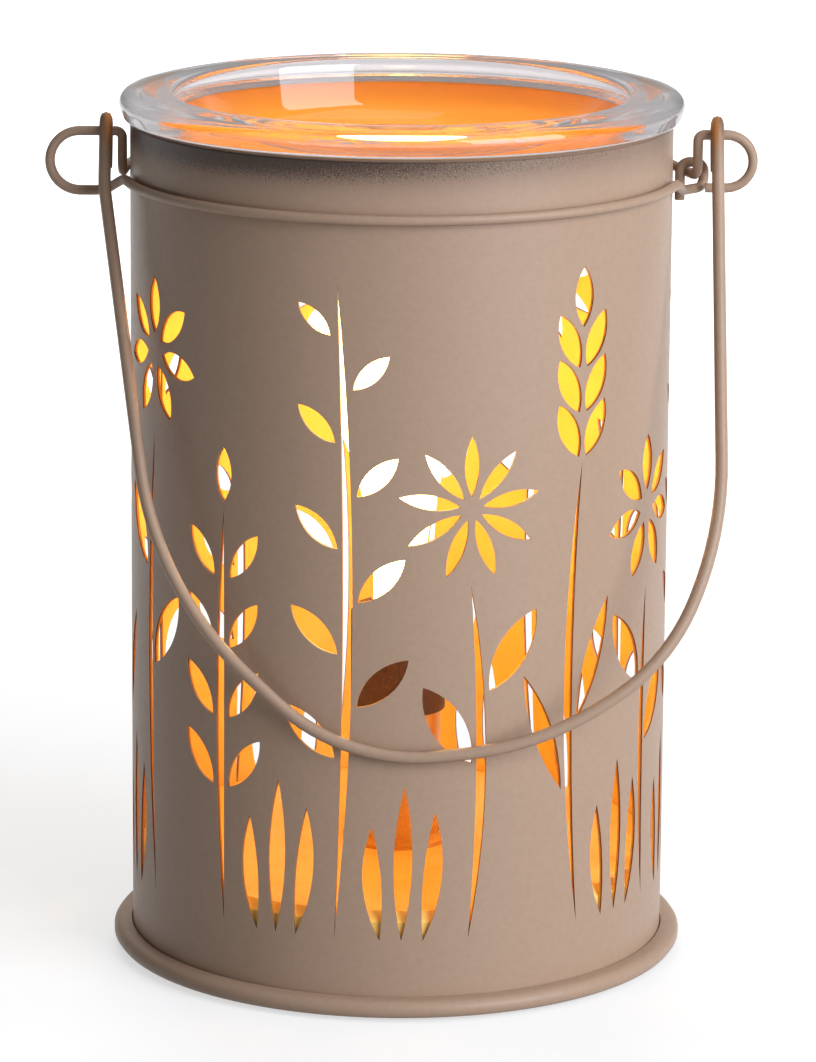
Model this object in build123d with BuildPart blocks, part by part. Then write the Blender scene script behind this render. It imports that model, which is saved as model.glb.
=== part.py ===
from build123d import *
import os
from math import asin, atan2, cos, degrees, hypot, radians, sin, sqrt, tan

# Lamp-heated wax warmer: a pierced steel sleeve on a pressed base, with a bulb inside,
# a loose glass dish on top and a wire bail hung on a wire band.
# Millimetres, +Z up, the table at z = 0, the front towards -Y.

# Overall
overall_height = 191.5
cut_overrun = 1.0
slide_gap = 0.1
join_tolerance = 1e-6

# Sleeve, rolled from sheet, its top edge turned in as a seat for the dish
sleeve_diameter = 118.0
sleeve_wall = 0.8
seat_width = 2.8
seat_bevel = 1.0

# Base pan, one pressing: rolled bead, ring under the sleeve, wall and deck
pan_sheet = 0.8
pan_fit = 0.15
bead_diameter = 4.0
bead_gap = 0.25
bead_lift = 0.6
deck_height = 22.8
deck_bevel = 2.0
bevel_angle = 45

# Bottom cover with its lugs, screws and pads
cover_sheet = 0.8
cover_fit = 0.35
cover_height = 1.6
vent_diameter = 5.0
vent_ring_diameter = 62.0
vent_count = 4
lug_sheet = 1.0
lug_height = 9.0
lug_reach = 9.0
lug_span = 13.0
lug_angles = (-90, 30, 150)
screw_diameter = 3.0
screw_length = 6.0
screw_across_flats = 5.0
screw_head_height = 1.1
pad_diameter = 10.0
pad_ring_diameter = 88.0
pad_count = 4

# Cord inlet at the back: a rubber bush for a flat two-core cord
inlet_height = 11.0
inlet_diameter = 8.4
bush_flange_diameter = 12.0
bush_flange = 1.6
cord_slot_length = 5.8
cord_slot_width = 3.0

# Lamp pillar: threaded nipple, washer and nut, brass column, socket
nipple_diameter = 9.6
nipple_bore = 7.0
nipple_tail = 8.0
nipple_grip = 4.0
washer_diameter = 18.0
washer_thickness = 1.0
nut_across_flats = 14.0
nut_thickness = 4.0
column_diameter = 19.0
column_foot_diameter = 24.0
column_foot_height = 2.0
column_wall = 1.0
column_share = 0.2
socket_diameter = 21.0
socket_height = 23.0
socket_base = 7.0
socket_edge = 1.2
shell_wall = 0.5
shell_height = 14.0
shell_floor_bore = 8.0
contact_diameter = 5.2
contact_tip_diameter = 3.0
contact_sheet = 0.6
contact_rise = 0.8

# Bulb with a small screw cap
cap_diameter = 11.9
cap_wall = 0.4
cap_height = 13.5
thread_play = 0.2
bulb_contact_diameter = 4.4
bulb_contact_height = 1.0
insulator_height = 1.7
insulator_tip_diameter = 6.0
glass_wall = 0.8
neck_overlap = 7.5
neck_rise = 0.5
bulb_diameter = 40.0
bulb_gap = 19.1
stem_diameter = 3.6
stem_flare_height = 1.5
stem_share = 0.65
lead_diameter = 0.7
lead_spread = 16.0
lead_base_spread = 2.0
filament_diameter = 1.2
filament_drop = 7.2

# Glass dish: thick rim over the sleeve, shallow bowl inside the seat
rim_overhang = 3.0
rim_height = 6.2
rim_top_round = 2.8
rim_bottom_round = 1.8
dish_seat_clear = 2.9
dish_wall = 3.8
dish_floor = 3.6
bowl_depth = 14.5
bowl_draft = 2.4
bowl_lip_round = 2.2
bowl_floor_round = 6.0
bowl_outer_bevel = 4.0

# Steps in each drawn round, few so that turned pieces stay light
round_steps = 3
bead_steps = 5
bulb_flank_steps = 3
bulb_dome_steps = 5

# Wire, drawn with a many-sided section to keep its bends light
wire_sides = 8

# Wire band round the sleeve, with a ring each side and a hook on the right
band_wire = 2.2
band_gap = 0.15
band_drop = 12.7
strand_step = 0.6
pin_rise = 9.65
loop_forward = 4.0
left_loop_radius = 6.5
right_loop_radius = 5.8
left_strand_out = 1.5
right_strand_out = 5.2
left_eye_step = 3.5
right_eye_step = 4.1
left_loop_step = 5.7
right_loop_step = 2.1
loop_corner = 1.4
strand_bend = 2.5
shank_bend = 5.0
shank_lead = 6.0
shank_reach = 3.8
left_front_angle = 14.0
right_front_angle = 16.0
ring_end_overlap = 4.5
hook_back = 3.5
hook_bend = 2.1
hook_clear = 0.35
hook_tail_gap = 0.5
hook_tail_length = 8.3
hook_turn_bend = 5.0
hook_turn_forward = 1.5
hook_turn_gap = 0.95
hook_lead = 5.0

# Bail handle: one wire with a hairpin eye at each end
bail_wire = 2.7
eye_clear = 0.35
eye_return = 7.5
bail_shoulder = 13.0
bail_shoulder_bend = 30.0
bail_drop = 138.3
bail_half_span = 66.8
bail_rest_gap = 0.25
# Corners of the hanging curve: across as a share of the half span, down as a share of the drop
bail_corner_shares = ((-0.77, 0.73), (-0.17, 1.0), (0.44, 0.97), (0.86, 0.84), (1.03, 0.63))
bail_bend_share = 0.48
bail_sample_count = 400

# Cut-out plants: pointed blades on thin stems, parted by narrow bridges
pattern_ground = 17.0
pattern_height = 148.0
plant_lift = 1.0
plant_cut_depth = 9.0
stem_width = 2.2
leaf_bridge = 1.0
leaf_width_share = 0.36
fern_leaf = 16.0
fern_tip_leaf = 9.0
fern_leaf_angle = 46
fern_leaf_count = 9
fern_first_share = 0.28
olive_leaf = 14.0
olive_tip_leaf = 12.0
olive_leaf_angle = 36
olive_pair_count = 4
olive_first_share = 0.33
grain_length = 13.0
grain_width_share = 0.4
grain_angle = 25
grain_pitch = 9.6
grain_rows = 3
ear_leaf = 28.0
ear_leaf_angle = 20
ear_leaf_width_share = 0.17
ear_leaf_shares = (0.3, 0.44)
daisy_eye = 7.0
petal_length = 12.5
petal_width_share = 0.42
petal_count = 7
daisy_leaf = 20.0
daisy_leaf_angle = 32
daisy_leaf_shares = (0.5, 0.7)
star_eye = 5.0
star_spoke = 13.0
star_spoke_width_share = 0.25
star_spoke_count = 9
grass_blade = 34.0
grass_width = 4.0
grass_spread = 4.6
grass_shares = (0.74, 1.0, 0.84)
grass_headings = (-4, 1, 5)
grass_bow = 0.8

# Worked-out places
sleeve_radius = sleeve_diameter / 2
sleeve_bore = sleeve_radius - sleeve_wall
sleeve_top = overall_height - rim_height
sleeve_foot = bead_lift + pan_sheet
pan_radius = sleeve_bore - pan_fit
pan_bore = pan_radius - pan_sheet
deck_underside = deck_height - pan_sheet
nipple_hole = nipple_diameter / 2 + slide_gap
cover_top = cover_height + cover_sheet
cover_radius = pan_bore - cover_fit
lug_radius = pan_bore - slide_gap / 2
screw_circle = lug_radius - lug_reach / 2
inlet_radius = inlet_diameter / 2
seat_bore = sleeve_radius - seat_width
bowl_floor = overall_height - bowl_depth
dish_underside = bowl_floor - dish_floor
column_height = column_share * (dish_underside - deck_height)
socket_foot = deck_height + column_height
socket_top = socket_foot + socket_height
shell_foot = socket_foot + socket_base
cap_radius = cap_diameter / 2
shell_bore = cap_radius + thread_play
shell_radius = shell_bore + shell_wall
bulb_contact_foot = shell_foot + contact_sheet + contact_rise + slide_gap
insulator_foot = bulb_contact_foot + bulb_contact_height
cap_foot = insulator_foot + insulator_height
cap_top = cap_foot + cap_height
neck_radius = cap_radius - cap_wall - slide_gap
neck_foot = cap_top - neck_overlap
neck_top = cap_top + neck_rise
bulb_radius = bulb_diameter / 2
bulb_top = dish_underside - bulb_gap
bulb_centre = bulb_top - bulb_radius
stem_foot = neck_foot + slide_gap
lead_top = bulb_centre - filament_drop
stem_top = stem_foot + stem_share * (lead_top - stem_foot)
lead_height = lead_top - stem_top
band_radius = sleeve_radius + band_gap + band_wire / 2
band_height = sleeve_top - band_drop
strand_height = band_height + strand_step
pin_height = band_height + pin_rise
left_strand = sleeve_radius + left_strand_out
right_strand = sleeve_radius + right_strand_out
left_eye = left_strand + left_eye_step
right_eye = right_strand + right_eye_step
left_loop = left_eye + left_loop_step
right_loop = right_eye + right_loop_step
eye_radius = band_wire / 2 + eye_clear + bail_wire / 2

os.makedirs("parts", exist_ok=True)


def bent_line(points, radii):
    """Straight runs through the points, each corner rounded by a tangent arc of its radius."""
    corners = [Vector(*point) for point in points]
    here = corners[0]
    for before, corner, after, radius in zip(corners, corners[1:], corners[2:], radii):
        arriving = (corner - before).normalized()
        leaving = (after - corner).normalized()
        half_turn = radians(arriving.get_angle(leaving)) / 2
        trim = radius * tan(half_turn)
        arc_start = corner - arriving * trim
        arc_end = corner + leaving * trim
        arc_middle = corner + (leaving - arriving).normalized() * radius * (1 / cos(half_turn) - 1)
        if (arc_start - here).length > join_tolerance:
            Line(here, arc_start)
        ThreePointArc(arc_start, arc_middle, arc_end)
        here = arc_end
    if (corners[-1] - here).length > join_tolerance:
        Line(here, corners[-1])


def stepped_arc(centre, radius, start, sweep, steps):
    """Points along an arc, angles in degrees from the x axis."""
    turns = [radians(start + sweep * number / steps) for number in range(steps + 1)]
    return [(centre[0] + radius * cos(turn), centre[1] + radius * sin(turn)) for turn in turns]


def stepped_outline(points, radii):
    """Corners of an outline whose rounds are a few straight steps along tangent arcs."""
    corners = [Vector(*point) for point in points]
    outline = [corners[0]]
    for before, corner, after, radius in zip(corners, corners[1:], corners[2:], radii):
        arriving = (corner - before).normalized()
        leaving = (after - corner).normalized()
        turn = radians(arriving.get_angle(leaving))
        inwards = (leaving - arriving).normalized()
        centre = corner + inwards * radius / cos(turn / 2)
        spoke = corner - arriving * radius * tan(turn / 2) - centre
        for number in range(round_steps + 1 if radius else 1):
            part = turn * number / round_steps
            outline.append(centre + spoke * cos(part) + arriving * radius * sin(part))
    return [*outline, corners[-1]]


def widest_bends(points, share):
    """Corner radii whose arcs use up to a share of the shorter run beside each corner."""
    corners = [Vector(*point) for point in points]
    radii = []
    for before, corner, after in zip(corners, corners[1:], corners[2:]):
        arriving = corner - before
        leaving = after - corner
        half_turn = radians(arriving.get_angle(leaving)) / 2
        radii.append(share * min(arriving.length, leaving.length) / tan(half_turn))
    return radii


def radial_plane(angle):
    """Upright plane through the Z axis, its x axis pointing outwards at the angle."""
    turn = radians(angle)
    return Plane(origin=(0, 0, 0), x_dir=(cos(turn), sin(turn), 0), z_dir=(sin(turn), -cos(turn), 0))


def finish(piece, name):
    """Label a finished piece and write it."""
    piece.part.label = name
    export_step(piece.part, f"parts/{name}.step")


# Base pan
bead_radius = bead_diameter / 2
bead_inner = sleeve_radius + bead_gap
bead_ring = bead_inner + bead_radius
bead_top = bead_lift + bead_diameter
with BuildPart() as base_pan:
    with BuildSketch(Plane.XZ):
        with BuildLine():
            bevel_across = pan_radius - deck_bevel
            bevel_up = deck_height - deck_bevel
            bevel_setback = pan_sheet * tan(radians(bevel_angle / 2))
            Polyline(
                (bead_ring, bead_top),
                (bead_inner, bead_top),
                (bead_inner, sleeve_foot),
                (pan_radius, sleeve_foot),
                (pan_radius, bevel_up),
                (bevel_across, deck_height),
                (nipple_hole, deck_height),
                (nipple_hole, deck_underside),
                (bevel_across - bevel_setback, deck_underside),
                (pan_bore, bevel_up - bevel_setback),
                (pan_bore, bead_lift),
                *stepped_arc((bead_ring, bead_lift + bead_radius), bead_radius, -90, 180, bead_steps),
            )
        make_face()
    revolve(axis=Axis.Z)
    with BuildSketch(Plane.XZ.offset(-pan_bore + cut_overrun)):
        with Locations((0, inlet_height)):
            Circle(inlet_radius)
    extrude(amount=-pan_sheet - 2 * cut_overrun, mode=Mode.SUBTRACT)
finish(base_pan, "base_pan")

# Bottom cover
with BuildPart() as bottom_cover:
    with BuildSketch(Plane.XY.offset(cover_height)):
        Circle(cover_radius)
        with PolarLocations(vent_ring_diameter / 2, vent_count):
            Circle(vent_diameter / 2, mode=Mode.SUBTRACT)
        for angle in lug_angles:
            with PolarLocations(screw_circle, 1, start_angle=angle):
                Circle(screw_diameter / 2 + slide_gap, mode=Mode.SUBTRACT)
    extrude(amount=cover_sheet)
finish(bottom_cover, "bottom_cover")

# Cover lugs: angle tabs welded inside the pan's wall
with BuildPart() as cover_lugs:
    lug_arc = degrees(lug_span / lug_radius)
    lug_inner = lug_radius - lug_reach
    lug_face = lug_radius - lug_sheet
    lug_ledge = cover_top + lug_sheet
    for angle in lug_angles:
        with BuildSketch(radial_plane(angle - lug_arc / 2)):
            with BuildLine():
                Polyline(
                    (lug_inner, cover_top),
                    (lug_radius, cover_top),
                    (lug_radius, cover_top + lug_height),
                    (lug_face, cover_top + lug_height),
                    (lug_face, lug_ledge),
                    (lug_inner, lug_ledge),
                    close=True,
                )
            make_face()
        revolve(axis=Axis.Z, revolution_arc=lug_arc)
        with BuildSketch(Plane.XY.offset(cover_top)):
            with PolarLocations(screw_circle, 1, start_angle=angle):
                Circle(screw_diameter / 2 + slide_gap / 2)
        extrude(amount=lug_sheet, mode=Mode.SUBTRACT)
finish(cover_lugs, "cover_lugs")

# Cover screws
with BuildPart() as cover_screws:
    for angle in lug_angles:
        with BuildSketch(Plane.XY.offset(cover_height - screw_head_height)):
            with PolarLocations(screw_circle, 1, start_angle=angle):
                RegularPolygon(screw_across_flats / 2, 6, major_radius=False)
        extrude(amount=screw_head_height)
        with BuildSketch(Plane.XY.offset(cover_height)):
            with PolarLocations(screw_circle, 1, start_angle=angle):
                Circle(screw_diameter / 2)
        extrude(amount=screw_length)
finish(cover_screws, "cover_screws")

# Foot pads
with BuildPart() as foot_pads:
    with BuildSketch(Plane.XY):
        with PolarLocations(pad_ring_diameter / 2, pad_count, start_angle=180 / pad_count):
            Circle(pad_diameter / 2)
    extrude(amount=cover_height)
finish(foot_pads, "foot_pads")

# Cord grommet at the back, its groove astride the two walls
with BuildPart() as cord_grommet:
    bush_radius = bush_flange_diameter / 2
    outer_face = sleeve_radius + slide_gap
    inner_face = sqrt(pan_bore**2 - bush_radius**2) - slide_gap
    with BuildSketch(Plane.XZ.offset(-inner_face + bush_flange)):
        with Locations((0, inlet_height)):
            Circle(bush_radius)
    extrude(amount=-bush_flange)
    with BuildSketch(Plane.XZ.offset(-inner_face)):
        with Locations((0, inlet_height)):
            Circle(inlet_radius - slide_gap)
    extrude(amount=inner_face - outer_face)
    with BuildSketch(Plane.XZ.offset(-outer_face)):
        with Locations((0, inlet_height)):
            Circle(bush_radius)
    extrude(amount=-bush_flange, taper=20)
    with BuildSketch(Plane.XZ.offset(-inner_face + bush_flange)):
        with Locations((0, inlet_height)):
            SlotOverall(cord_slot_length, cord_slot_width)
    extrude(amount=inner_face - outer_face - 2 * bush_flange, mode=Mode.SUBTRACT)
finish(cord_grommet, "cord_grommet")

# Threaded nipple, deck washer and lock nut
with BuildPart() as threaded_nipple:
    with BuildSketch(Plane.XY.offset(deck_underside - nipple_tail)):
        Circle(nipple_diameter / 2)
        Circle(nipple_bore / 2, mode=Mode.SUBTRACT)
    extrude(amount=nipple_tail + pan_sheet + column_height + nipple_grip)
finish(threaded_nipple, "threaded_nipple")

with BuildPart() as deck_washer:
    with BuildSketch(Plane.XY.offset(deck_underside - washer_thickness)):
        Circle(washer_diameter / 2)
        Circle(nipple_hole, mode=Mode.SUBTRACT)
    extrude(amount=washer_thickness)
finish(deck_washer, "deck_washer")

with BuildPart() as lock_nut:
    with BuildSketch(Plane.XY.offset(deck_underside - washer_thickness - nut_thickness)):
        RegularPolygon(nut_across_flats / 2, 6, major_radius=False)
        Circle(nipple_hole, mode=Mode.SUBTRACT)
    extrude(amount=nut_thickness)
finish(lock_nut, "lock_nut")

# Brass column: a spun cup with a spread foot, upside down on the deck
with BuildPart() as socket_column:
    column_radius = column_diameter / 2
    foot_radius = column_foot_diameter / 2
    foot_top = deck_height + column_foot_height
    column_bore = column_radius - column_wall
    column_underside = socket_foot - column_wall
    with BuildSketch(Plane.XZ):
        with BuildLine():
            Polyline(
                (column_bore, deck_height),
                (foot_radius, deck_height),
                (foot_radius, deck_height + column_foot_height / 2),
                (column_radius, foot_top),
                (column_radius, socket_foot),
                (nipple_hole, socket_foot),
                (nipple_hole, column_underside),
                (column_bore, column_underside),
                close=True,
            )
        make_face()
    revolve(axis=Axis.Z)
finish(socket_column, "socket_column")

# Socket: moulded body, screw shell, centre contact
with BuildPart() as socket_body:
    socket_bore = shell_radius + slide_gap
    socket_radius = socket_diameter / 2
    nipple_end = socket_foot + nipple_grip + slide_gap
    with BuildSketch(Plane.XZ):
        with BuildLine():
            Polyline(
                (0, nipple_end),
                (nipple_hole, nipple_end),
                (nipple_hole, socket_foot),
                (socket_radius, socket_foot),
                (socket_radius, socket_top - socket_edge),
                (socket_radius - socket_edge, socket_top),
                (socket_bore, socket_top),
                (socket_bore, shell_foot),
                (0, shell_foot),
                close=True,
            )
        make_face()
    revolve(axis=Axis.Z)
finish(socket_body, "socket_body")

with BuildPart() as socket_screw_shell:
    with BuildSketch(Plane.XZ):
        with BuildLine():
            shell_floor = shell_foot + shell_wall
            Polyline(
                (shell_floor_bore / 2, shell_foot),
                (shell_radius, shell_foot),
                (shell_radius, shell_foot + shell_height),
                (shell_bore, shell_foot + shell_height),
                (shell_bore, shell_floor),
                (shell_floor_bore / 2, shell_floor),
                close=True,
            )
        make_face()
    revolve(axis=Axis.Z)
finish(socket_screw_shell, "socket_screw_shell")

with BuildPart() as socket_contact:
    with BuildSketch(Plane.XY.offset(shell_foot)):
        Circle(contact_diameter / 2)
    extrude(amount=contact_sheet)
    with BuildSketch(Plane.XY.offset(shell_foot + contact_sheet)):
        Circle(contact_tip_diameter / 2)
    extrude(amount=contact_rise, taper=20)
finish(socket_contact, "socket_contact")

# Bulb: contact, insulator, cap, glass, stem, leads and filament
with BuildPart() as bulb_contact:
    with BuildSketch(Plane.XY.offset(bulb_contact_foot)):
        Circle(bulb_contact_diameter / 2)
    extrude(amount=bulb_contact_height)
    chamfer(bulb_contact.edges().group_by(Axis.Z)[0], bulb_contact_height / 2)
finish(bulb_contact, "bulb_contact")

with BuildPart() as bulb_insulator:
    with BuildSketch(Plane.XY.offset(insulator_foot)):
        Circle(insulator_tip_diameter / 2)
    with BuildSketch(Plane.XY.offset(cap_foot)):
        Circle(cap_radius)
    loft()
finish(bulb_insulator, "bulb_insulator")

with BuildPart() as bulb_screw_cap:
    with BuildSketch(Plane.XY.offset(cap_foot)):
        Circle(cap_radius)
        Circle(cap_radius - cap_wall, mode=Mode.SUBTRACT)
    extrude(amount=cap_height)
finish(bulb_screw_cap, "bulb_screw_cap")

with BuildPart() as bulb_envelope:
    neck_bore = neck_radius - glass_wall
    neck_to_centre = bulb_centre - neck_top
    flank_radius = (neck_radius**2 + neck_to_centre**2 - bulb_radius**2) / (2 * (bulb_radius - neck_radius))
    flank_angle = degrees(asin(neck_to_centre / (bulb_radius + flank_radius)))
    flank_centre = (neck_radius + flank_radius, neck_top)
    dome_centre = (0, bulb_centre)
    dome_sweep = 90 + flank_angle
    inner_dome = bulb_radius - glass_wall
    inner_flank = flank_radius + glass_wall
    with BuildSketch(Plane.XZ):
        with BuildLine():
            Polyline(
                (neck_radius, neck_foot),
                *stepped_arc(flank_centre, flank_radius, 180, -flank_angle, bulb_flank_steps),
                *stepped_arc(dome_centre, bulb_radius, -flank_angle, dome_sweep, bulb_dome_steps)[1:],
                *stepped_arc(dome_centre, inner_dome, 90, -dome_sweep, bulb_dome_steps),
                *stepped_arc(flank_centre, inner_flank, 180 - flank_angle, flank_angle, bulb_flank_steps)[1:],
                (neck_bore, neck_foot),
                close=True,
            )
        make_face()
    revolve(axis=Axis.Z)
finish(bulb_envelope, "bulb_envelope")

with BuildPart() as bulb_stem:
    with BuildSketch(Plane.XY.offset(stem_foot)):
        Circle(neck_bore - slide_gap)
    extrude(amount=stem_flare_height)
    with BuildSketch(Plane.XY.offset(stem_foot + stem_flare_height)):
        Circle(stem_diameter / 2)
    extrude(amount=stem_top - stem_foot - stem_flare_height)
finish(bulb_stem, "bulb_stem")

with BuildPart() as bulb_lead_wires:
    lead_flare = (lead_spread - lead_base_spread) / 2
    for side in (-1, 1):
        with BuildSketch(Plane.XY.offset(stem_top)):
            with Locations((side * lead_base_spread / 2, 0)):
                Circle(lead_diameter / 2)
        extrude(amount=hypot(lead_height, lead_flare), dir=(side * lead_flare, 0, lead_height))
finish(bulb_lead_wires, "bulb_lead_wires")

with BuildPart() as bulb_filament:
    filament_length = lead_spread + lead_diameter + filament_diameter
    with BuildSketch(Plane.YZ.offset(-filament_length / 2)):
        with Locations((0, lead_top + filament_diameter / 2)):
            Circle(filament_diameter / 2)
    extrude(amount=filament_length)
finish(bulb_filament, "bulb_filament")

# Glass dish
with BuildPart() as glass_dish:
    dish_radius = sleeve_radius + rim_overhang
    bowl_outer = seat_bore - dish_seat_clear
    bowl_radius = bowl_outer - dish_wall
    dish_corners = (
        (0, bowl_floor),
        (bowl_radius - bowl_draft, bowl_floor),
        (bowl_radius, overall_height),
        (dish_radius, overall_height),
        (dish_radius, sleeve_top),
        (bowl_outer, sleeve_top),
        (bowl_outer - bowl_draft, dish_underside + bowl_outer_bevel),
        (bowl_outer - bowl_draft - bowl_outer_bevel, dish_underside),
        (0, dish_underside),
    )
    dish_rounds = (bowl_floor_round, bowl_lip_round, rim_top_round, rim_bottom_round, 0, 0, 0)
    with BuildSketch(Plane.XZ):
        with BuildLine():
            Polyline(*stepped_outline(dish_corners, dish_rounds), close=True)
        make_face()
    revolve(axis=Axis.Z)
finish(glass_dish, "glass_dish")


# Cut-out plants, drawn from the ground line up, x across and y up the sleeve
def blade(start, length, heading, width, bow=0):
    """Pointed opening between two arcs; the heading is in degrees from upright."""
    along = Vector(sin(radians(heading)), cos(radians(heading)))
    across = Vector(along.Y, -along.X)
    foot = Vector(*start)
    tip = foot + along * length
    middle = foot + along * (length / 2)
    with BuildLine() as outline:
        ThreePointArc(foot, middle + across * (bow + width / 2), tip)
        ThreePointArc(foot, middle + across * (bow - width / 2), tip)
    make_face(outline.edges())


def upright_stem(height, bow):
    """Tapered stem; returns a function that gives a point on it from a share of its height."""
    blade((0, 0), height, 0, stem_width, bow)
    return lambda share: (4 * bow * share * (1 - share), height * share)


def leaf(place, side, length, angle, width_share):
    """Leaf that springs from one side of a stem."""
    across, up = place
    foot = (across + side * (stem_width / 2 + leaf_bridge), up)
    blade(foot, length, side * angle, length * width_share)


def bloom(centre_up, eye, petal, width_share, count):
    """Ring of petals about a plain eye."""
    for number in range(count):
        heading = 360 * number / count
        foot = (eye / 2 * sin(radians(heading)), centre_up + eye / 2 * cos(radians(heading)))
        blade(foot, petal, heading, petal * width_share)


def fern(height, bow):
    """Alternate leaflets that shorten towards the tip."""
    on_stem = upright_stem(height, bow)
    for number in range(fern_leaf_count):
        rise_share = number / fern_leaf_count
        length = fern_leaf + (fern_tip_leaf - fern_leaf) * rise_share
        place = on_stem(fern_first_share + (1 - fern_first_share) * rise_share)
        leaf(place, 1 if number % 2 else -1, length, fern_leaf_angle, leaf_width_share)


def olive(height, bow):
    """Leaves in pairs, and one at the tip."""
    on_stem = upright_stem(height - olive_tip_leaf, bow)
    for number in range(olive_pair_count):
        rise_share = number / olive_pair_count
        length = olive_leaf + (olive_tip_leaf - olive_leaf) * rise_share
        place = on_stem(olive_first_share + (1 - olive_first_share) * rise_share)
        for side in (-1, 1):
            leaf(place, side, length, olive_leaf_angle, leaf_width_share)
    blade((0, height - olive_tip_leaf + leaf_bridge), olive_tip_leaf, 0, olive_tip_leaf * leaf_width_share)


def wheat(height, bow):
    """Ear of paired grains over a stem with two long leaves."""
    ear_foot = height - grain_pitch * grain_rows - grain_length
    on_stem = upright_stem(ear_foot, bow)
    for row in range(grain_rows):
        for side in (-1, 1):
            foot = (side * leaf_bridge, ear_foot + leaf_bridge + row * grain_pitch)
            blade(foot, grain_length, side * grain_angle, grain_length * grain_width_share)
    blade((0, height - grain_length), grain_length, 0, grain_length * grain_width_share)
    for side, share in zip((-1, 1), ear_leaf_shares):
        leaf(on_stem(share), side, ear_leaf, ear_leaf_angle, ear_leaf_width_share)


def daisy(height, bow):
    """Broad petals over a stem with two leaves."""
    bloom_radius = daisy_eye / 2 + petal_length
    on_stem = upright_stem(height - 2 * bloom_radius - leaf_bridge, bow)
    bloom(height - bloom_radius, daisy_eye, petal_length, petal_width_share, petal_count)
    for side, share in zip((1, -1), daisy_leaf_shares):
        leaf(on_stem(share), side, daisy_leaf, daisy_leaf_angle, leaf_width_share)


def star(height, bow):
    """Thin spokes over a stem with two leaves."""
    star_radius = star_eye / 2 + star_spoke
    on_stem = upright_stem(height - 2 * star_radius - leaf_bridge, bow)
    bloom(height - star_radius, star_eye, star_spoke, star_spoke_width_share, star_spoke_count)
    for side, share in zip((-1, 1), daisy_leaf_shares):
        leaf(on_stem(share), side, daisy_leaf, daisy_leaf_angle, leaf_width_share)


def grass(height, bow):
    """Tuft of three bent blades."""
    for number, (share, heading) in enumerate(zip(grass_shares, grass_headings)):
        foot = ((number - 1) * grass_spread, 0)
        blade(foot, height * share, heading, grass_width, bow * (number - 1))


# Motif, degrees round from the front, height as a share of the pattern's, bow of the stem
plant_shares = (
    (wheat, -90, 0.82, 2.6),
    (daisy, -63, 0.93, -2.6),
    (olive, -39, 0.70, -1.0),
    (fern, -13, 0.96, 2.6),
    (star, 15, 0.74, 2.6),
    (wheat, 41, 0.97, -3.2),
    (daisy, 65, 0.70, -1.6),
    (fern, 92, 0.92, -1.4),
    (olive, 119, 0.76, 1.8),
    (star, 146, 0.95, 3.2),
    (wheat, 171, 0.78, 2.6),
    (daisy, 195, 0.92, -2.6),
    (fern, 220, 0.74, -1.6),
    (olive, 246, 0.90, 1.4),
)
grass_azimuths = (-77, -26, 1, 53, 79, 133, 158, 207, 258)
grass_share = grass_blade / pattern_height
tuft_shares = tuple((grass, azimuth, grass_share, grass_bow) for azimuth in grass_azimuths)

# Sleeve
with BuildPart() as sleeve:
    seat_underside = sleeve_top - sleeve_wall
    with BuildSketch(Plane.XZ):
        with BuildLine():
            Polyline(
                (seat_bore, sleeve_top),
                (sleeve_radius - seat_bevel, sleeve_top),
                (sleeve_radius, sleeve_top - seat_bevel),
                (sleeve_radius, sleeve_foot),
                (sleeve_bore, sleeve_foot),
                (sleeve_bore, seat_underside),
                (seat_bore, seat_underside),
                close=True,
            )
        make_face()
    revolve(axis=Axis.Z)
    with BuildSketch(Plane.XZ.offset(-sleeve_bore + cut_overrun)):
        with Locations((0, inlet_height)):
            Circle(inlet_radius)
    extrude(amount=-sleeve_wall - 2 * cut_overrun, mode=Mode.SUBTRACT)
    plant_cuts = []
    for motif, azimuth, height_share, bow in plant_shares + tuft_shares:
        outward = Vector(sin(radians(azimuth)), -cos(radians(azimuth)), 0)
        ground = outward * (sleeve_radius + plant_lift) + Vector(0, 0, pattern_ground)
        with BuildSketch(Plane(origin=ground, x_dir=(-outward.Y, outward.X, 0), z_dir=outward)) as plant:
            motif(pattern_height * height_share, bow)
        plant_cuts.append(extrude(plant.sketch, amount=-plant_cut_depth, mode=Mode.PRIVATE))
    add(plant_cuts, mode=Mode.SUBTRACT)
finish(sleeve, "sleeve")


# Wire band
def leave_point(angle, side):
    """Where the front arc ends on one side, and the way the wire points there, backwards."""
    turn = radians(angle)
    place = Vector(side * band_radius * cos(turn), -band_radius * sin(turn), band_height)
    return place, Vector(side * sin(turn), cos(turn), 0)


def back_tangent(across, side):
    """Where a wire from the loop's strand touches the back arc."""
    corner = Vector(side * across, -loop_forward, strand_height)
    reach = hypot(across, loop_forward)
    turn = asin(band_radius / reach) + atan2(loop_forward, across)
    run = sqrt(reach**2 - band_radius**2)
    return corner, corner + Vector(-side * cos(turn), sin(turn), 0) * run


left_leave, left_way = leave_point(left_front_angle, -1)
right_leave, right_way = leave_point(right_front_angle, 1)
left_corner, left_touch = back_tangent(left_strand, -1)
right_corner, right_touch = back_tangent(right_strand, 1)
loop_y = -loop_forward
left_end = -left_loop - left_loop_radius
right_end = right_loop + right_loop_radius
left_bottom = pin_height - 2 * left_loop_radius
right_bottom = pin_height - 2 * right_loop_radius
hook_y = loop_y + hook_back
right_run = (right_touch - right_corner).normalized()
strand_at_hook = right_corner + right_run * (hook_back / right_run.Y)
strand_half = band_wire / 2 / right_run.Y
hook_outer = strand_at_hook.X + strand_half + hook_clear + band_wire / 2
hook_tail = sleeve_radius + hook_tail_gap + band_wire / 2
hook_top = strand_height + band_wire + hook_clear
hook_bottom = strand_height - band_wire - 2 * hook_clear
hook_turn = sleeve_radius + hook_turn_gap + band_wire / 2
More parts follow.
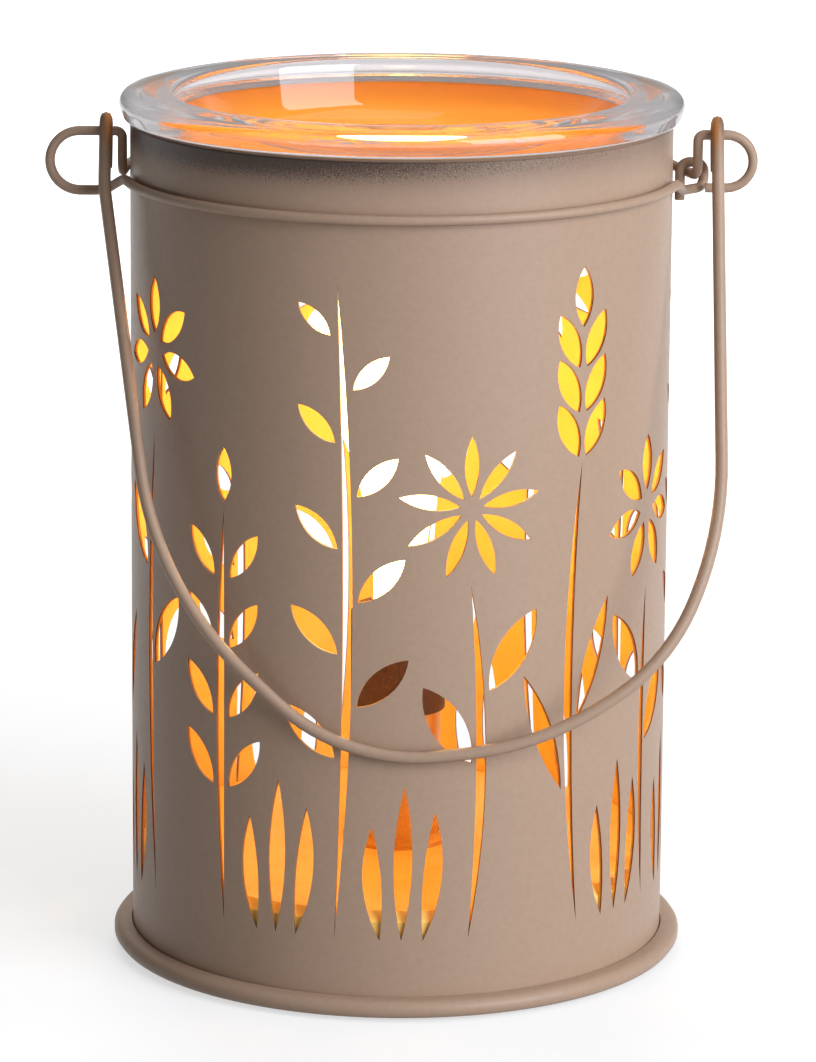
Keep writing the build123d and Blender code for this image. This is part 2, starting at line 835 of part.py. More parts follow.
hook_points = (
    (hook_tail, hook_y, hook_top - hook_tail_length),
    (hook_tail, hook_y, hook_top),
    (hook_outer, hook_y, hook_top),
    (hook_outer, hook_y, hook_bottom),
    (hook_turn, loop_y - hook_turn_forward, hook_bottom),
    tuple(right_leave + right_way * hook_lead),
    tuple(right_leave),
)
left_points = (
    tuple(left_leave),
    tuple(left_leave + left_way * shank_lead),
    (-left_strand - shank_reach, loop_y, left_bottom),
    (left_end, loop_y, left_bottom),
    (left_end, loop_y, pin_height),
    (-left_strand, loop_y, pin_height),
    tuple(left_corner),
    tuple(left_touch),
)
right_points = (
    tuple(right_touch),
    tuple(right_corner),
    (right_strand, loop_y, pin_height),
    (right_end, loop_y, pin_height),
    (right_end, loop_y, right_bottom),
    (right_loop - ring_end_overlap, loop_y, right_bottom),
)
with BuildPart() as wire_band:
    with BuildLine() as band_path:
        bent_line(hook_points, (hook_bend, hook_bend, hook_bend, hook_turn_bend, hook_turn_bend))
        ThreePointArc(right_leave, (0, -band_radius, band_height), left_leave)
        bent_line(
            left_points,
            (shank_bend, shank_bend, left_loop_radius, left_loop_radius, loop_corner, strand_bend),
        )
        ThreePointArc(left_touch, (0, band_radius, strand_height), right_touch)
        bent_line(right_points, (strand_bend, loop_corner, right_loop_radius, right_loop_radius))
    with BuildSketch(Plane(origin=hook_points[0], z_dir=(0, 0, 1))):
        RegularPolygon(band_wire / 2, wire_sides)
    sweep(path=band_path.wire())
finish(wire_band, "wire_band")

# Bail handle: the hanging curve in its own plane, across and down from the hinge pins
bail_corners = [(share_across * bail_half_span, share_down * bail_drop)
                for share_across, share_down in bail_corner_shares]
bail_curve = [(-left_eye, bail_shoulder), *bail_corners, (right_eye, bail_shoulder)]
curve_bends = widest_bends(bail_curve, bail_bend_share)
bail_bends = [bail_shoulder_bend, *curve_bends, bail_shoulder_bend]
with BuildLine() as hanging_curve:
    bent_line([(-left_eye, 0), *bail_curve, (right_eye, 0)], bail_bends)


def lean_to_clear(spot):
    """Lean, from upright, at which one spot of the hanging wire just clears the sleeve."""
    clear_radius = sleeve_radius + bail_rest_gap + bail_wire / 2
    forward = sqrt(max(clear_radius**2 - spot.X**2, 0)) - loop_forward
    reach = hypot(spot.Y, eye_radius)
    return asin(min(forward / reach, 1)) - atan2(eye_radius, spot.Y)


hanging_wire = hanging_curve.wire()
lowest_quarter = [spot for spot in (hanging_wire @ (number / bail_sample_count)
                                    for number in range(bail_sample_count + 1))
                  if spot.Y > bail_drop / 2]
bail_lean = max(lean_to_clear(spot) for spot in lowest_quarter)


def on_bail(across, down, behind):
    """Point of the bail: across, down along its lean from the pins, and behind its plane."""
    back = -loop_forward - down * sin(bail_lean) + behind * cos(bail_lean)
    up = pin_height - down * cos(bail_lean) - behind * sin(bail_lean)
    return (across, back, up)


def hairpin(across):
    """Corners of an eye from its free end, over the pin, to the front leg."""
    return [
        on_bail(across, eye_return, eye_radius),
        on_bail(across, -eye_radius, eye_radius),
        on_bail(across, -eye_radius, -eye_radius),
    ]


with BuildPart() as bail_handle:
    left_hairpin = hairpin(-left_eye)
    right_hairpin = hairpin(right_eye)
    hanging_points = [on_bail(across, down, -eye_radius) for across, down in bail_curve]
    with BuildLine() as bail_path:
        bent_line(
            [*left_hairpin, *hanging_points, *reversed(right_hairpin)],
            [eye_radius, eye_radius, *bail_bends, eye_radius, eye_radius],
        )
    free_end = Vector(*left_hairpin[0])
    over_pin = Vector(*left_hairpin[1])
    with BuildSketch(Plane(origin=free_end, z_dir=over_pin - free_end)):
        RegularPolygon(bail_wire / 2, wire_sides)
    sweep(path=bail_path.wire())
finish(bail_handle, "bail_handle")

print("bail lean", round(degrees(bail_lean), 3), "pin", (0, -loop_forward, pin_height))
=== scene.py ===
from math import asin, atan2, cos, degrees, pi, radians, sin, tan

import bmesh
import bpy
from mathutils import Matrix, Vector


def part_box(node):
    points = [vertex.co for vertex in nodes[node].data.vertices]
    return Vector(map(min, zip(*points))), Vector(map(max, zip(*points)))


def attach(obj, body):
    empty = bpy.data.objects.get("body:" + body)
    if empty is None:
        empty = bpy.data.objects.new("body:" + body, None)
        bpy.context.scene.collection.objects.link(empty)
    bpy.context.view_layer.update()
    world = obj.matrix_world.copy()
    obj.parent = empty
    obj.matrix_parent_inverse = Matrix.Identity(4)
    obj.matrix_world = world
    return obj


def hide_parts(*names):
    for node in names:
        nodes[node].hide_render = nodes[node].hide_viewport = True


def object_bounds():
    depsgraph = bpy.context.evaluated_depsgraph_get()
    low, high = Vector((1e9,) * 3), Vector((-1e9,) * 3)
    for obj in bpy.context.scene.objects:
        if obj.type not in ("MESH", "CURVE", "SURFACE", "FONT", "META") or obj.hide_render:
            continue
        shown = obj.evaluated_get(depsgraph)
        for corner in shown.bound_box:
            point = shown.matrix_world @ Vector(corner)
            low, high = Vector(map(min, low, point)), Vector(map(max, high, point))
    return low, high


# Lit wax warmer on a white studio floor, seen from the front and a little above.
# Metres, +Z up, the front towards -Y.

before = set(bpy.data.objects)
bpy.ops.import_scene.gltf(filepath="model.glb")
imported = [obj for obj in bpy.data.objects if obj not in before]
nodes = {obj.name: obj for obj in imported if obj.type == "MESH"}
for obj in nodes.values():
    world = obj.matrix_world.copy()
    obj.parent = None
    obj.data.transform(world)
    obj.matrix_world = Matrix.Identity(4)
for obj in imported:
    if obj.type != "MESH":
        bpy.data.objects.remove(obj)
cad_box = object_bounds()
MM = 0.001

# Camera, fitted to an 816 by 1062 picture
PHOTO_WIDTH, PHOTO_HEIGHT = 816, 1062
FOCAL_PX = 5114.6
CENTRE_PX = (399.7, 425.0)
SENSOR_MM = 36.0
CAMERA_PLACE = (0, -1.1, 0.3523)
CAMERA_PITCH = 12.09
CAMERA_ROLL = 0.4
CLIP_NEAR, CLIP_FAR = 0.05, 50

# Colours, linear
TAUPE = (0.43, 0.29, 0.20)
TAUPE_SHADE = (0.41, 0.274, 0.188)
ANTIQUE = (0.045, 0.027, 0.020)
# Amber on the bail's eyes: a painted reflection of the dish's glow
DISH_GLOW_TINT = (0.62, 0.235, 0.05)
UMBER = (0.115, 0.072, 0.056)
# Cut edges: a dark line on their outer half as painted shade, orange on their inner half as painted lamp
# glow
EDGE_SHADE = (0.10, 0.035, 0.012)
EDGE_GLOW = (0.70, 0.30, 0.06)
# Chamber coat: painted light, the bulb's warm glow put into the colour of the inner walls, deeper orange at
# the top
CHAMBER_GLOW = (0.95, 0.66, 0.17)
CHAMBER_GLOW_DEEP = (0.92, 0.58, 0.13)
CHAMBER_TOP_GLOW = (0.98, 0.50, 0.03)
LAMP_FROST = (0.9, 0.85, 0.75)
LAMP_GLOW = (1.0, 0.68, 0.25)
KEY_LIGHT = (0.95, 1.0, 1.1)
BRASS = (0.72, 0.46, 0.16)
STEEL = (0.56, 0.55, 0.54)
BROWN_MOULDING = (0.06, 0.03, 0.018)
RUBBER = (0.03, 0.028, 0.027)
DISH_TINT = (0.90, 0.86, 0.88)
STEM_TINT = (0.97, 0.98, 0.97)
FLOOR_TONE = (0.43, 0.43, 0.43)
FLOOR_TONE_PALE = (0.46, 0.46, 0.46)
WHITE = (1.0, 1.0, 1.0)

# Noise scales, in cycles to a metre
PAINT_MOTTLE = 700.0
PAINT_GRAIN = 900.0
ORANGE_PEEL = 2600.0
DUST_DOTS = 4600.0
CHAMBER_CLOUD = 90.0
TURNED_LINES = 900.0
TURNED_STRETCH = (1.0, 1.0, 6.0)
MOULD_GRAIN = 1800.0
MOULD_CLOUD = 500.0
GLASS_WAVE = 70.0
FROST_GRAIN = 900.0
FLOOR_CLOUD = 3.0

# Thread pitches
SCREW_PITCH = 3.6 * MM
NIPPLE_PITCH = 1.0 * MM

# Corners closer than this are joined in the smooth copies
WELD = 0.002 * MM

# Lamp: its strength at the foot, and the share of it near the top
LAMP_STRENGTH = 10.5
LAMP_TOP_SHARE = 0.74

# Floor: its own white from near the part to far from it, and the share of it seen through glass
FLOOR_SIZE = 14
FLOOR_NEAR, FLOOR_FAR = 0.08, 0.8
FLOOR_WHITE_NEAR, FLOOR_WHITE_FAR = 0.62, 0.96
FLOOR_THROUGH_GLASS = 0.3

# World: its level as light, in reflections and through glass, where it dims from level rays to the ceiling
WORLD_LIGHT = 0.08
WORLD_REFLECTED = 0.4
WORLD_THROUGH_GLASS = 0.86
CEILING_THROUGH_GLASS = 0.32
CEILING_FROM, CEILING_TO = 0.1, 0.45

# Light runs round inside the thick glass rim, so its paths are let go on longer
LIGHT_BOUNCES = 40

# Sockets of the Mix node for colours, whose names repeat
MIX_FIRST, MIX_SECOND, MIX_RESULT = 6, 7, 2


# Shader helpers
class Wiring:
    """A node tree being wired."""

    def __init__(self, tree):
        self.tree = tree

    def node(self, kind, **settings):
        """New node with its settings."""
        made = self.tree.nodes.new(kind)
        for key, value in settings.items():
            setattr(made, key, value)
        return made

    def put(self, socket, value):
        """Link a socket to another socket, or set its value."""
        if isinstance(value, bpy.types.NodeSocket):
            self.tree.links.new(value, socket)
        elif socket.type == "RGBA":
            socket.default_value = (*value, 1)
        else:
            socket.default_value = value

    def math(self, operation, first, second=0.0, clamp=False):
        """Result of one operation on sockets or numbers."""
        made = self.node("ShaderNodeMath", operation=operation, use_clamp=clamp)
        self.put(made.inputs[0], first)
        self.put(made.inputs[1], second)
        return made.outputs[0]

    def ramp(self, value, low, high, start=0.0, end=1.0, kind="SMOOTHSTEP"):
        """Change from start to end while the value goes from low to high, smooth unless a kind is given."""
        made = self.node("ShaderNodeMapRange", interpolation_type=kind)
        self.put(made.inputs["Value"], value)
        self.put(made.inputs["From Min"], low)
        self.put(made.inputs["From Max"], high)
        self.put(made.inputs["To Min"], start)
        self.put(made.inputs["To Max"], end)
        return made.outputs["Result"]

    def split(self, vector, name):
        """One coordinate of a vector."""
        made = self.node("ShaderNodeSeparateXYZ")
        self.put(made.inputs[0], vector)
        return made.outputs[name]

    def seen(self, in_mirror, through_glass):
        """1 for camera rays, a level for reflected rays, and one for rays that came through glass."""
        rays = self.node("ShaderNodeLightPath").outputs
        through = rays["Is Transmission Ray"]
        reflected = self.math("SUBTRACT", rays["Is Glossy Ray"], through, clamp=True)
        mirror_level = self.math("MULTIPLY", reflected, in_mirror)
        glass_level = self.math("MULTIPLY", through, through_glass)
        either = self.math("MAXIMUM", mirror_level, glass_level)
        return self.math("MAXIMUM", rays["Is Camera Ray"], either)


class Surface(Wiring):
    """A material being wired to its Principled shader, over the object's own coordinates in metres."""

    def __init__(self, name):
        self.material = bpy.data.materials.new(name)
        self.material.use_nodes = True
        super().__init__(self.material.node_tree)
        self.shader = self.tree.nodes["Principled BSDF"]
        self.place = self.node("ShaderNodeTexCoord").outputs["Object"]

    def noise(self, scale, detail=3.0, roughness=0.55, stretch=None):
        """Noise value, with its coordinates scaled along each axis where a stretch is given."""
        made = self.node("ShaderNodeTexNoise")
        self.put(made.inputs["Scale"], scale)
        self.put(made.inputs["Detail"], detail)
        self.put(made.inputs["Roughness"], roughness)
        source = self.place
        if stretch:
            mapping = self.node("ShaderNodeMapping")
            self.put(mapping.inputs["Scale"], stretch)
            self.put(mapping.inputs["Vector"], source)
            source = mapping.outputs["Vector"]
        self.put(made.inputs["Vector"], source)
        return made.outputs["Fac"]

    def mix(self, share, first, second):
        """Colour between two, by the share of the second."""
        made = self.node("ShaderNodeMix", data_type="RGBA")
        self.put(made.inputs["Factor"], share)
        self.put(made.inputs[MIX_FIRST], first)
        self.put(made.inputs[MIX_SECOND], second)
        return made.outputs[MIX_RESULT]

    def axis(self, name):
        """One coordinate of the place."""
        return self.split(self.place, name)

    def radius(self):
        """Distance from the upright axis."""
        squares = [self.math("POWER", self.axis(name), 2.0) for name in "XY"]
        return self.math("SQRT", self.math("ADD", *squares))

    def bump(self, height, strength, distance):
        """Relief on the shader."""
        made = self.node("ShaderNodeBump")
        self.put(made.inputs["Strength"], strength)
        self.put(made.inputs["Distance"], distance)
        self.put(made.inputs["Height"], height)
        self.put(self.shader.inputs["Normal"], made.outputs["Normal"])

    def set(self, **values):
        """Put values on the shader's sockets, named with _ for each space."""
        for name, value in values.items():
            self.put(self.shader.inputs[name.replace("_", " ")], value)
        return self


def paint_coat(made):
    """Satin taupe with a faint mottle, fine grain in its gloss and an orange-peel surface."""
    mottle = made.ramp(made.noise(PAINT_MOTTLE, detail=4.0, roughness=0.6), 0.35, 0.7)
    gloss = made.ramp(made.noise(PAINT_GRAIN), 0.3, 0.7, start=0.38, end=0.46)
    made.set(Roughness=gloss, Specular_IOR_Level=0.32)
    made.bump(made.noise(ORANGE_PEEL, detail=2.0), strength=0.10, distance=0.08 * MM)
    return made.mix(mottle, TAUPE, TAUPE_SHADE)


def antiqued(made, coat, fade, share):
    """Dark paint dusted over a coat: a brown tint and fine dots, by a fade from 0 to 1 and a share of it."""
    dots = made.math("SUBTRACT", made.noise(DUST_DOTS, detail=2.0, roughness=0.6), 0.5)
    cover = made.math("MULTIPLY", fade, share)
    reach = made.math("ADD", cover, made.math("MULTIPLY", dots, 1.6))
    thickest = made.ramp(cover, 0.02, 0.45, end=0.9)
    stipple = made.math("MULTIPLY", made.ramp(reach, 0.35, 0.8), thickest)
    tint = made.math("MULTIPLY", fade, made.ramp(share, 0.0, 1.0, start=0.2, end=0.75))
    return made.mix(stipple, made.mix(tint, coat, UMBER), ANTIQUE)


def painted(name):
    """Plain paint."""
    made = Surface(name)
    return made.set(Base_Color=paint_coat(made))


def eye_paint(bail_high):
    """Paint on the bail, dusted dark over the tops of its eyes, with a painted reflection of the dish's
    amber glow on their sides towards it.
    """
    made = Surface("bail_paint")
    top = bail_high.z
    fade = made.ramp(made.axis("Z"), top - 13 * MM, top + 4 * MM)
    dusted = antiqued(made, paint_coat(made), fade, share=0.7)
    points = [vertex.co for vertex in nodes["bail_handle"].data.vertices]
    eyes = [point.x for point in points if point.z > top - 6 * MM]
    left = [place for place in eyes if place < 0]
    right = [place for place in eyes if place > 0]
    across = made.axis("X")
    from_left = made.ramp(across, min(left), max(left))
    from_right = made.ramp(across, min(right), max(right), start=1.0, end=0.0)
    facing_dish = made.math("MULTIPLY", from_left, from_right)
    upper = made.ramp(made.axis("Z"), top - 9 * MM, top - 2 * MM)
    # Amber on the eye sides facing the dish: painted reflection of its glow
    return made.set(Base_Color=made.mix(made.math("MULTIPLY", facing_dish, upper), dusted, DISH_GLOW_TINT))


def painted_glow_inside(made):
    """Coat of the lamp chamber in the bulb's warm yellow-orange, turning deeper orange towards its top, all
    painted lamp light.
    """
    coat = made.mix(made.ramp(made.noise(CHAMBER_CLOUD), 0.3, 0.8), CHAMBER_GLOW, CHAMBER_GLOW_DEEP)
    deeper_up = made.ramp(made.axis("Z"), 135 * MM, 160 * MM)
    return made.mix(deeper_up, coat, CHAMBER_TOP_GLOW)


def pan_paint(sleeve_high):
    """Paint on the base, with the chamber's painted lamp glow on what lies inside the sleeve."""
    made = Surface("pan_paint")
    outer = sleeve_high.x
    above = made.ramp(made.axis("Z"), 4.0 * MM, 4.2 * MM)
    within = made.ramp(made.radius(), outer - 0.7 * MM, outer - 0.6 * MM, start=1.0, end=0.0)
    inside = made.math("MULTIPLY", above, within)
    # Inside the sleeve the deck takes the chamber's painted lamp glow
    return made.set(Base_Color=made.mix(inside, paint_coat(made), painted_glow_inside(made)))


def sleeve_paint(sleeve_high):
    """Paint outside, dusted dark under the rim, the dusting made heavier to the left as painted shade on the
    unlit side and kept off the top edge as painted light under the glass rim; painted lamp glow inside; cut
    edges painted with lamp glow on their inner half and shade on their outer half.
    """
    made = Surface("sleeve_paint")
    outer, top = sleeve_high.x, sleeve_high.z
    fade = made.ramp(made.axis("Z"), top - 10 * MM, top - 0.5 * MM)
    # The dusting stops short of the top edge, which shows the plain coat through the glass rim: painted
    # light for the light the glass holds back
    clear_lit_top = made.ramp(made.axis("Z"), top - 0.9 * MM, top - 0.5 * MM, start=1.0, end=0.0)
    # The dusting is heavier to the left: real dusting, with painted shade on the unlit side
    dust_and_left_shade = made.ramp(made.axis("X"), -0.9 * outer, 0.9 * outer, start=1.0, end=0.4)
    outside = antiqued(made, paint_coat(made), made.math("MULTIPLY", fade, clear_lit_top), dust_and_left_shade)
    reach = made.radius()
    # Cut edges: orange on the half towards the lamp as painted lamp glow, a dark line on the outer half as
    # painted shade
    edge = made.mix(made.ramp(reach, outer - 0.36 * MM, outer - 0.3 * MM), EDGE_GLOW, EDGE_SHADE)
    seat = made.ramp(made.axis("Z"), top - 1.1 * MM, top - 0.9 * MM)
    face = made.ramp(reach, outer - 0.1 * MM, outer - 0.06 * MM)
    shell = made.mix(made.math("MAXIMUM", seat, face), edge, outside)
    wall = made.ramp(reach, outer - 0.78 * MM, outer - 0.7 * MM)
    # Inside the wall, the chamber's painted lamp glow
    return made.set(Base_Color=made.mix(wall, painted_glow_inside(made), shell))


def metal(name, colour, roughness, thread=0.0):
    """Metal with fine turned lines round the upright axis, or a thread of that pitch."""
    made = Surface(name)
    lines = made.noise(TURNED_LINES, detail=2.0, roughness=0.6, stretch=TURNED_STRETCH)
    darker = tuple(0.8 * part for part in colour)
    made.set(Base_Color=made.mix(made.ramp(lines, 0.2, 0.8), colour, darker), Metallic=1.0)
    made.set(Roughness=made.ramp(lines, 0.2, 0.8, start=roughness, end=roughness + 0.12))
    if thread:
        wave = made.math("SINE", made.math("MULTIPLY", made.axis("Z"), 2 * pi / thread))
        height = made.math("ADD", made.math("MULTIPLY", wave, 0.5), 0.5)
        made.bump(height, strength=0.9, distance=0.3 * thread)
    else:
        made.bump(lines, strength=0.08, distance=0.05 * MM)
    return made


def moulded(name, colour, roughness):
    """Moulded plastic or rubber with a fine grain."""
    made = Surface(name)
    grain = made.noise(MOULD_GRAIN)
    paler = tuple(1.4 * part for part in colour)
    made.set(Base_Color=made.mix(made.ramp(grain, 0.3, 0.8), colour, paler))
    gloss = made.ramp(made.noise(MOULD_CLOUD), 0.3, 0.7, start=roughness, end=roughness + 0.1)
    made.set(Roughness=gloss)
    made.bump(grain, strength=0.15, distance=0.06 * MM)
    return made


def clear_glass(name, colour):
    """Clear pressed glass with a very slight wave in its surface."""
    made = Surface(name)
    made.set(Base_Color=colour, Roughness=0.0, IOR=1.5)
    made.set(Specular_IOR_Level=0.2, Transmission_Weight=1.0)
    made.bump(made.noise(GLASS_WAVE, detail=1.0), strength=0.04, distance=0.3 * MM)
    return made


def lamp_glass(bulb_low, bulb_high):
    """Frosted lamp that glows, most at its foot."""
    made = Surface("lamp_glass")
    foot, tall = bulb_low.z, bulb_high.z - bulb_low.z
    glow = made.ramp(made.axis("Z"), foot, foot + 0.7 * tall, start=1.0, end=LAMP_TOP_SHARE)
    frost = made.ramp(made.noise(FROST_GRAIN), 0.2, 0.8, start=0.9, end=1.05)
    made.set(Base_Color=LAMP_FROST, Roughness=0.5)
    strength = made.math("MULTIPLY", made.math("MULTIPLY", glow, frost), LAMP_STRENGTH)
    return made.set(Emission_Color=LAMP_GLOW, Emission_Strength=strength)


def white_floor():
    """Pale floor that keeps shadows and is white where it is seen."""
    made = Surface("white_floor")
    tone = made.ramp(made.noise(FLOOR_CLOUD), 0.3, 0.7)
    made.set(Base_Color=made.mix(tone, FLOOR_TONE, FLOOR_TONE_PALE), Roughness=0.9)
    made.set(Specular_IOR_Level=0.0)
    seen = made.seen(in_mirror=1.0, through_glass=FLOOR_THROUGH_GLASS)
    lift = made.ramp(made.radius(), FLOOR_NEAR, FLOOR_FAR, FLOOR_WHITE_NEAR, FLOOR_WHITE_FAR)
    return made.set(Emission_Color=WHITE, Emission_Strength=made.math("MULTIPLY", seen, lift))


def dress(surface, *names):
    """Give CAD nodes one material."""
    for name in names:
        mesh = nodes[name].data
        mesh.materials.clear()
        mesh.materials.append(surface.material)


# Pieces that stand for CAD nodes
def made_piece(name, shape, surface):
    """Linked object with the form of a bmesh, which it uses up."""
    mesh = bpy.data.meshes.new(name)
    shape.to_mesh(mesh)
    shape.free()
    mesh.materials.append(surface.material)
    piece = bpy.data.objects.new(name, mesh)
    bpy.context.scene.collection.objects.link(piece)
    return piece


def smooth_copy(name, body, surface, angle=50):
    """Joined-up copy of a CAD node that stands for it, smooth over edges that turn by less than an angle."""
    shape = bmesh.new()
    shape.from_mesh(nodes[name].data)
    bmesh.ops.remove_doubles(shape, verts=shape.verts, dist=WELD)
    for face in shape.faces:
        face.smooth = True
    for edge in shape.edges:
        edge.smooth = len(edge.link_faces) == 2 and edge.calc_face_angle() < radians(angle)
    piece = made_piece(f"{name}_smooth", shape, surface)
    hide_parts(name)
    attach(piece, body)


def arc(centre, radius, start, sweep, steps=10):
    """Points along an arc, its angles in degrees."""
    turns = [radians(start + sweep * number / steps) for number in range(steps + 1)]
    return [(centre[0] + radius * cos(turn), centre[1] + radius * sin(turn)) for turn in turns]


def rounded(corners, rounds):
    """Outline through corners, each but the first and last turned on an arc of its radius."""
    points = [corners[0]]
    for before, corner, after, radius in zip(corners, corners[1:], corners[2:], rounds):
        corner = Vector(corner)
        back = (Vector(before) - corner).normalized()
        ahead = (Vector(after) - corner).normalized()
        half = back.angle(ahead) / 2
        centre = corner + (back + ahead).normalized() * radius / sin(half)
        first = corner + back * radius / tan(half) - centre
        last = corner + ahead * radius / tan(half) - centre
        start = degrees(atan2(first.y, first.x))
        sweep = (degrees(atan2(last.y, last.x)) - start + 180) % 360 - 180
        points.extend(arc(centre, radius, start, sweep))
    points.append(corners[-1])
    return points


def lathe(outline, segments=192):
    """Smooth form of turning, from an outline of radius and height that starts and ends on the axis."""
    shape = bmesh.new()
    turns = [2 * pi * number / segments for number in range(segments)]
    poles = [shape.verts.new((0, 0, height)) for _, height in (outline[0], outline[-1])]
    rings = []
    for radius, height in outline[1:-1]:
        points = [(radius * cos(turn), radius * sin(turn), height) for turn in turns]
        rings.append([shape.verts.new(point) for point in points])
    for number in range(segments):
        after = (number + 1) % segments
        shape.faces.new((poles[0], rings[0][number], rings[0][after]))
        shape.faces.new((poles[1], rings[-1][after], rings[-1][number]))
        for upper, lower in zip(rings, rings[1:]):
            shape.faces.new((upper[number], lower[number], lower[after], upper[after]))
    bmesh.ops.recalc_face_normals(shape, faces=shape.faces)
    for face in shape.faces:
        face.smooth = True
    return shape


def pressed_dish(surface):
    """The glass dish with full rounds and a crowned, tapered rim, in the space its solid holds."""
    low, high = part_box("glass_dish")
    air_gap = 0.1 * MM
    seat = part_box("sleeve")[1].z + air_gap
    rim, top, foot = high.x, high.z, low.z
    bowl = rim - 12.5 * MM
    outer = rim - 8.7 * MM
    bottom = foot + 3.6 * MM
    draft, bevel = 2.4 * MM, 4 * MM
    lip_fall, rim_fall, rim_taper = 0.5 * MM, 1.2 * MM, 1.3 * MM
    corners = (
        (0, bottom),
        (bowl - draft, bottom),
        (bowl, top - lip_fall),
        ((bowl + rim) / 2, top),
        (rim, top - rim_fall),
        (rim - rim_taper, seat),
        (outer, seat),
        (outer - draft, foot + bevel),
        (outer - draft - bevel, foot),
        (0, foot),
    )
    rounds = [radius * MM for radius in (6.0, 2.2, 14.0, 2.4, 1.0, 0.6, 3.0, 3.0)]
    piece = made_piece("glass_dish_smooth", lathe(rounded(corners, rounds)), surface)
    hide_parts("glass_dish")
    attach(piece, "dish")


def blown_bulb(surface):
    """The bulb as one smooth blown shell, in the space its solid holds."""
    low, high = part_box("bulb_envelope")
    ball, neck, wall = 20 * MM, 5.45 * MM, 0.8 * MM
    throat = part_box("bulb_screw_cap")[1].z + 0.5 * MM
    centre = (0, high.z - ball)
    rise = centre[1] - throat
    flank = (neck**2 + rise**2 - ball**2) / (2 * (ball - neck))
    lean = degrees(asin(rise / (ball + flank)))
    sides = []
    for inset in (0, wall):
        dome = arc(centre, ball - inset, 90, -90 - lean, steps=24)
        throat_arc = arc((neck + flank, throat), flank + inset, 180 - lean, lean)
        sides.append(dome + throat_arc[1:] + [(neck - inset, low.z)])
    outline = [(0, high.z)] + sides[0][1:] + sides[1][:0:-1] + [(0, high.z - wall)]
    piece = made_piece("bulb_envelope_smooth", lathe(outline, segments=96), surface)
    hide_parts("bulb_envelope")
    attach(piece, "lantern")


# Materials on the CAD nodes
paint = painted("taupe_paint")
pan_coat = pan_paint(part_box("sleeve")[1])
bail_paint = eye_paint(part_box("bail_handle")[1])
brass = metal("brass_turned", BRASS, roughness=0.28)
steel = metal("steel_plain", STEEL, roughness=0.32)
lamp = lamp_glass(*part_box("bulb_envelope"))
dish_glass = clear_glass("dish_glass", DISH_TINT)
dress(sleeve_paint(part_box("sleeve")[1]), "sleeve")
dress(pan_coat, "base_pan")
dress(paint, "bottom_cover", "wire_band")
dress(bail_paint, "bail_handle")
dress(brass, "socket_column", "socket_contact")
dress(metal("brass_thread", BRASS, roughness=0.3, thread=SCREW_PITCH), "socket_screw_shell")
dress(metal("cap_thread", STEEL, roughness=0.3, thread=SCREW_PITCH), "bulb_screw_cap")
dress(metal("nipple_thread", STEEL, roughness=0.35, thread=NIPPLE_PITCH), "threaded_nipple")
dress(steel, "cover_lugs", "cover_screws", "deck_washer", "lock_nut")
dress(steel, "bulb_contact", "bulb_lead_wires")
dress(moulded("socket_moulding", BROWN_MOULDING, roughness=0.45), "socket_body", "bulb_insulator")
dress(moulded("pad_rubber", RUBBER, roughness=0.6), "foot_pads", "cord_grommet")
dress(clear_glass("stem_glass", STEM_TINT), "bulb_stem")
dress(lamp, "bulb_envelope", "bulb_filament")
dress(dish_glass, "glass_dish")
smooth_copy("wire_band", "lantern", paint)
smooth_copy("base_pan", "lantern", pan_coat, angle=40)
smooth_copy("bail_handle", "bail", bail_paint)
pressed_dish(dish_glass)
blown_bulb(lamp)

# Floor
bpy.ops.mesh.primitive_plane_add(size=FLOOR_SIZE, location=(0, 0, 0))
floor = bpy.context.object
floor.name = "floor"
floor.data.materials.append(white_floor().material)

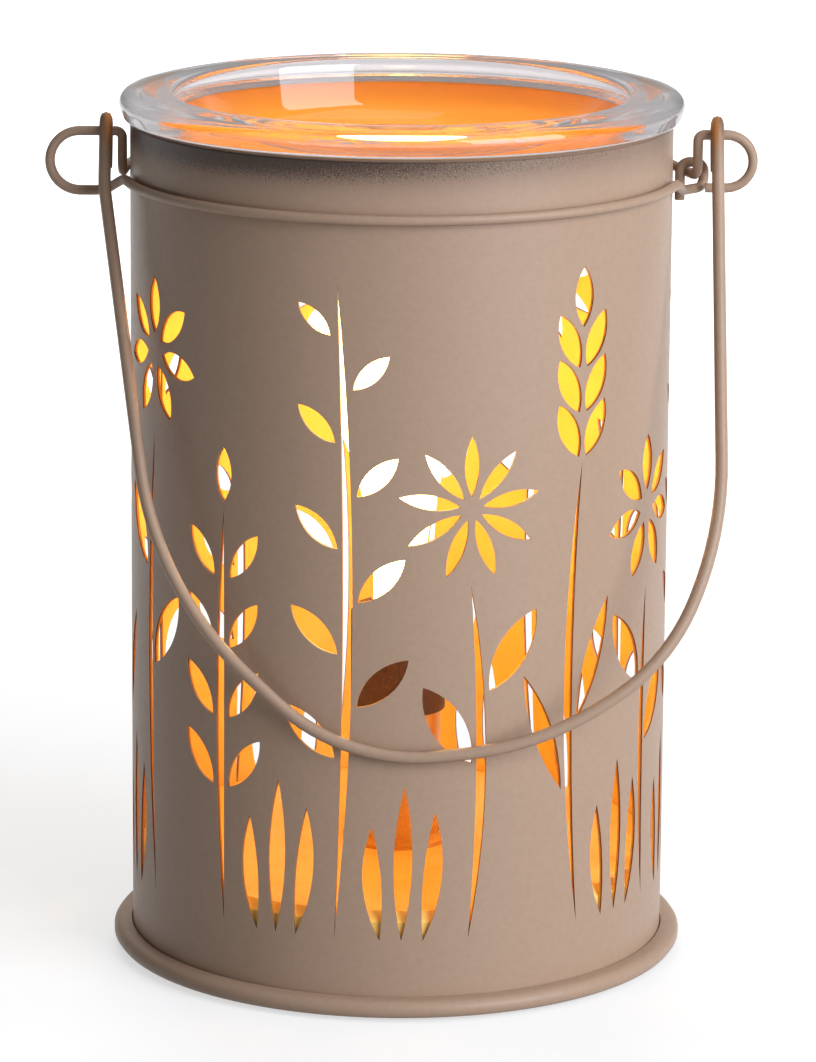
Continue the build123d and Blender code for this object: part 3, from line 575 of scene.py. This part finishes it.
# World: white where the camera sees it, dimmer in reflections and overhead in the glass, grey as light
world = bpy.data.worlds.new("studio")
bpy.context.scene.world = world
world.use_nodes = True
sky = Wiring(world.node_tree)
backdrop = sky.tree.nodes["Background"]
upward = sky.split(sky.node("ShaderNodeTexCoord").outputs["Generated"], "Z")
overhead = sky.ramp(
    upward,
    CEILING_FROM,
    CEILING_TO,
    start=WORLD_THROUGH_GLASS,
    end=CEILING_THROUGH_GLASS,
    kind="LINEAR",
)
world_seen = sky.seen(in_mirror=WORLD_REFLECTED, through_glass=overhead)
sky.put(backdrop.inputs["Color"], WHITE)
sky.put(backdrop.inputs["Strength"], sky.math("MAXIMUM", world_seen, WORLD_LIGHT))


# Lights
def softbox(name, place, target, size, power, colour=WHITE):
    """Square area light that faces a point and isn't seen through the glass."""
    light = bpy.data.lights.new(name, "AREA")
    light.color = colour
    light.size = size
    light.energy = power
    box = bpy.data.objects.new(name, light)
    bpy.context.scene.collection.objects.link(box)
    box.visible_transmission = False
    box.location = place
    box.rotation_euler = (Vector(target) - Vector(place)).to_track_quat("-Z", "Y").to_euler()
    return box


middle = (cad_box[0] + cad_box[1]) / 2
softbox("key", (1.3, -1.2, 0.75), middle, size=1.4, power=41.0, colour=KEY_LIGHT)
softbox("top", (0.3, -0.1, 1.6), middle, size=1.2, power=6.0)
back = softbox("back", (-0.2, 1.7, 0.9), middle, size=1.0, power=22.0)
back.visible_glossy = False

# Camera
lens = bpy.data.cameras.new("camera")
lens.sensor_width = SENSOR_MM
lens.lens = FOCAL_PX * SENSOR_MM / PHOTO_HEIGHT
lens.shift_x = (PHOTO_WIDTH / 2 - CENTRE_PX[0]) / PHOTO_HEIGHT
lens.shift_y = (CENTRE_PX[1] - PHOTO_HEIGHT / 2) / PHOTO_HEIGHT
lens.clip_start, lens.clip_end = CLIP_NEAR, CLIP_FAR
camera = bpy.data.objects.new("camera", lens)
bpy.context.scene.collection.objects.link(camera)
pitch = Matrix.Rotation(radians(90 - CAMERA_PITCH), 4, "X")
roll = Matrix.Rotation(radians(CAMERA_ROLL), 4, "Z")
camera.matrix_world = Matrix.Translation(CAMERA_PLACE) @ (pitch @ roll)
bpy.context.scene.camera = camera
bpy.context.scene.view_settings.view_transform = "Standard"
bpy.context.scene.cycles.max_bounces = LIGHT_BOUNCES
bpy.context.scene.cycles.transmission_bounces = LIGHT_BOUNCES
bpy.context.scene.cycles.glossy_bounces = LIGHT_BOUNCES
